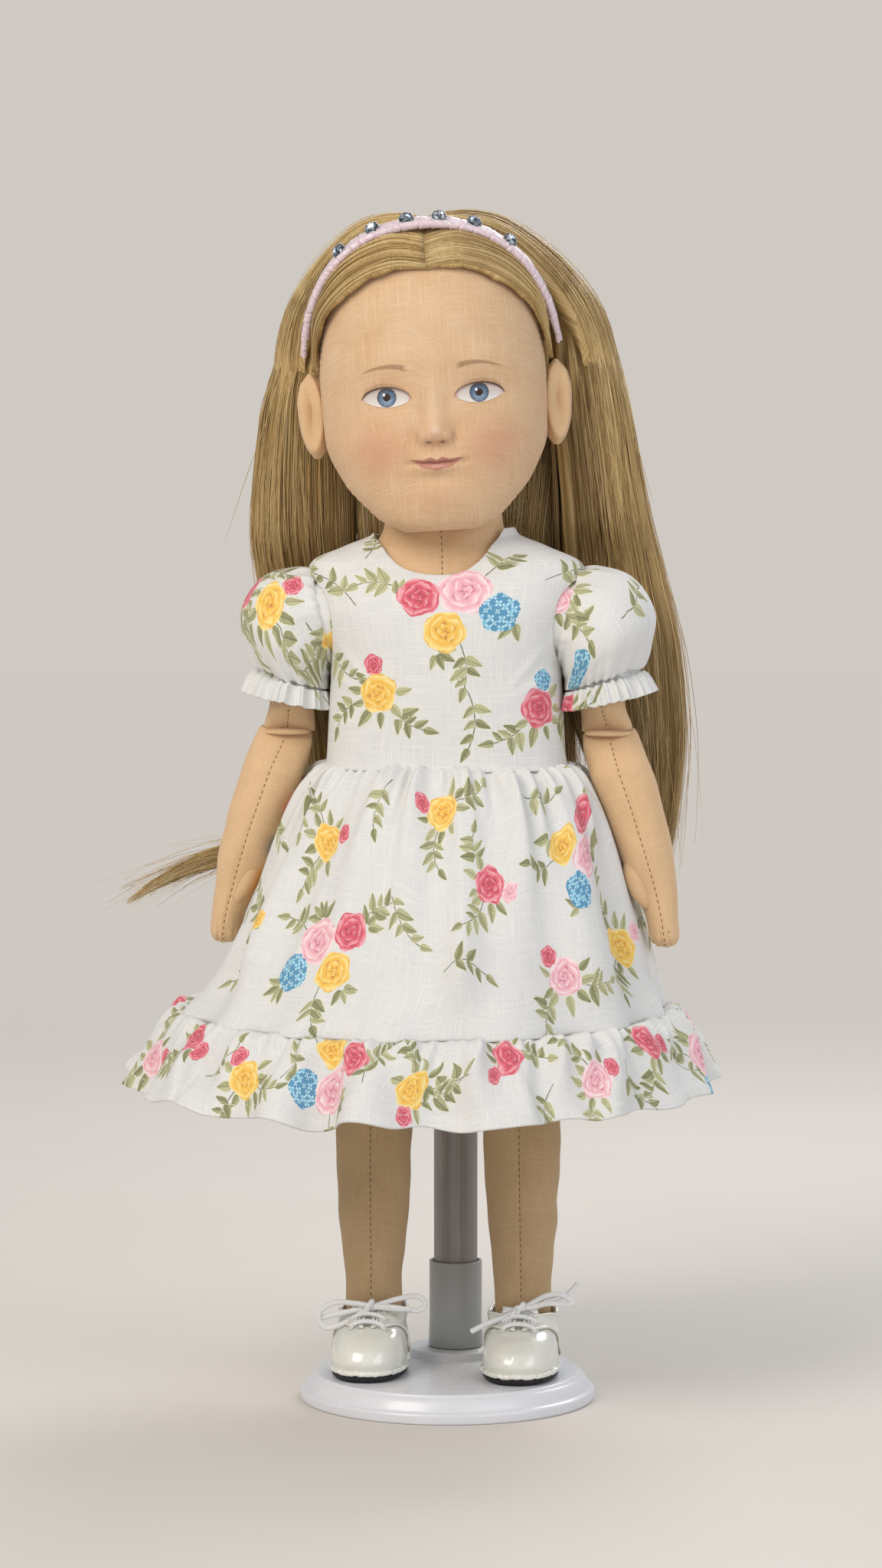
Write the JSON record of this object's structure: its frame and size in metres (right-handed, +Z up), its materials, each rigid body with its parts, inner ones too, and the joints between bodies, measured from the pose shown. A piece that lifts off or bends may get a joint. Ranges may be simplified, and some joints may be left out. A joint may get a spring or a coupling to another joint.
{
  "type": "rag doll",
  "caption": "Cloth doll with long fair hair, stone-set hairband, floral cotton dress and laced white shoes, held on a round white doll stand",
  "frame": {"origin": "centre of the stand base underside, on the doll's middle plane", "axes": "+Z up, the doll faces -Y, its left hand is at +X"},
  "size_m": [0.2435, 0.2178, 0.4689],
  "materials": {
    "skin_linen": "matte",
    "leg_linen": "matte",
    "hair_fibre": "satin",
    "dress_cotton": "matte",
    "band_satin": "satin",
    "lace_cord": "matte",
    "stone_glass": "polished",
    "button_plastic": "gloss",
    "shoe_leather": "gloss",
    "sole_rubber": "matte",
    "stand_plastic": "satin",
    "lock_plastic": "satin",
    "pole_aluminium": "satin",
    "screw_steel": "satin"
  },
  "bodies": {
    "stand": {"stand_base": "stand_plastic", "base_screw": "screw_steel", "stand_sleeve": "lock_plastic"},
    "doll": {"pole": "pole_aluminium", "waist_clip": "pole_aluminium", "torso": "skin_linen", "head": "skin_linen", "ear_right": "skin_linen", "ear_left": "skin_linen", "hair_cap": "hair_fibre", "hair_front_right": "hair_fibre", "hair_front_left": "hair_fibre", "hair_fall_right": "hair_fibre", "hair_fall_left": "hair_fibre", "hair_fall_back": "hair_fibre", "hair_wisp": "hair_fibre", "hairband": "band_satin", "band_stone_1": "stone_glass", "band_stone_2": "stone_glass", "band_stone_3": "stone_glass", "band_stone_4": "stone_glass", "band_stone_5": "stone_glass", "band_stone_6": "stone_glass", "bodice_front": "dress_cotton", "bodice_back_right": "dress_cotton", "bodice_back_left": "dress_cotton", "back_button_1": "button_plastic", "back_button_2": "button_plastic", "back_button_3": "button_plastic", "skirt": "dress_cotton", "hem_ruffle": "dress_cotton"},
    "arm_right": {"sleeve_right": "dress_cotton", "upper_arm_right": "skin_linen"},
    "hand_right": {"forearm_right": "skin_linen"},
    "leg_right": {"leg_right": "leg_linen", "shoe_sole_right": "sole_rubber", "shoe_welt_right": "shoe_leather", "shoe_vamp_right": "shoe_leather", "shoe_quarters_right": "shoe_leather", "shoe_tongue_right": "shoe_leather", "shoe_lace_right": "lace_cord", "shoe_bow_right": "lace_cord"},
    "arm_left": {"sleeve_left": "dress_cotton", "upper_arm_left": "skin_linen"},
    "hand_left": {"forearm_left": "skin_linen"},
    "leg_left": {"leg_left": "leg_linen", "shoe_sole_left": "sole_rubber", "shoe_welt_left": "shoe_leather", "shoe_vamp_left": "shoe_leather", "shoe_quarters_left": "shoe_leather", "shoe_tongue_left": "shoe_leather", "shoe_lace_left": "lace_cord", "shoe_bow_left": "lace_cord"}
  },
  "joints": [
    {"name": "pole_height", "type": "slide", "parent": "stand", "child": "doll", "axis": [0, 0, 1], "range_m": [0, 0.02]},
    {"name": "shoulder_right", "type": "hinge", "parent": "doll", "child": "arm_right", "pos_m": [-0.04708, -0.002, 0.31017], "axis": [-0.9715, 0, -0.2368], "range_deg": [0, 150]},
    {"name": "elbow_right", "type": "hinge", "parent": "arm_right", "child": "hand_right", "pos_m": [-0.0635, -0.002, 0.265], "axis": [-1, 0, 0], "range_deg": [0, 85]},
    {"name": "hip_right", "type": "hinge", "parent": "doll", "child": "leg_right", "pos_m": [-0.029, 0.006, 0.186], "axis": [-1, 0, 0], "range_deg": [0, 55], "deforming": ["skirt", "hem_ruffle"]},
    {"name": "shoulder_left", "type": "hinge", "parent": "doll", "child": "arm_left", "pos_m": [0.04708, -0.002, 0.31017], "axis": [-0.9715, 0, 0.2368], "range_deg": [0, 150]},
    {"name": "elbow_left", "type": "hinge", "parent": "arm_left", "child": "hand_left", "pos_m": [0.0635, -0.002, 0.265], "axis": [-1, 0, 0], "range_deg": [0, 85]},
    {"name": "hip_left", "type": "hinge", "parent": "doll", "child": "leg_left", "pos_m": [0.029, 0.006, 0.186], "axis": [-1, 0, 0], "range_deg": [0, 55], "deforming": ["skirt", "hem_ruffle"]}
  ]
}
